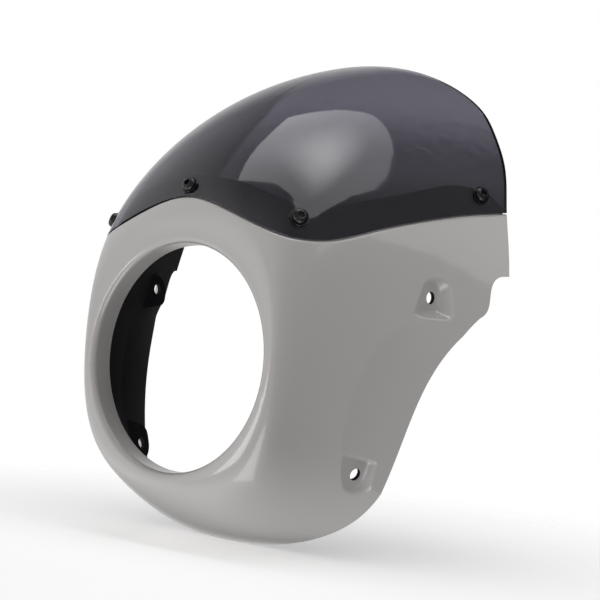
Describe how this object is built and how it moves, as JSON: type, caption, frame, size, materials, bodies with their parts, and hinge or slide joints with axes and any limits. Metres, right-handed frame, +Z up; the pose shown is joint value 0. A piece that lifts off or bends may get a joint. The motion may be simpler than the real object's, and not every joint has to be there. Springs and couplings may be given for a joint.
{
  "type": "headlight cowl",
  "caption": "Moulded motorcycle headlight cowl with a rolled lamp opening, recessed bracket pads and a smoked bubble screen held by button-head screws.",
  "frame": {"origin": "middle of the lamp opening's straight wall, on the lamp's axis", "axes": "as fitted: +Z up, the lamp faces -Y, X across; the two sides mirror about X = 0"},
  "size_m": [0.3172, 0.1887, 0.3622],
  "materials": {
    "shell_paint": "gloss",
    "screen_smoke": "gloss, smoked clear",
    "black_hardware": "black, satin"
  },
  "bodies": {
    "root": {"cowl_shell": "shell_paint", "screen": "screen_smoke", "screen_screws": "black_hardware", "screen_washers": "black_hardware", "screen_nuts": "black_hardware"}
  },
  "joints": []
}
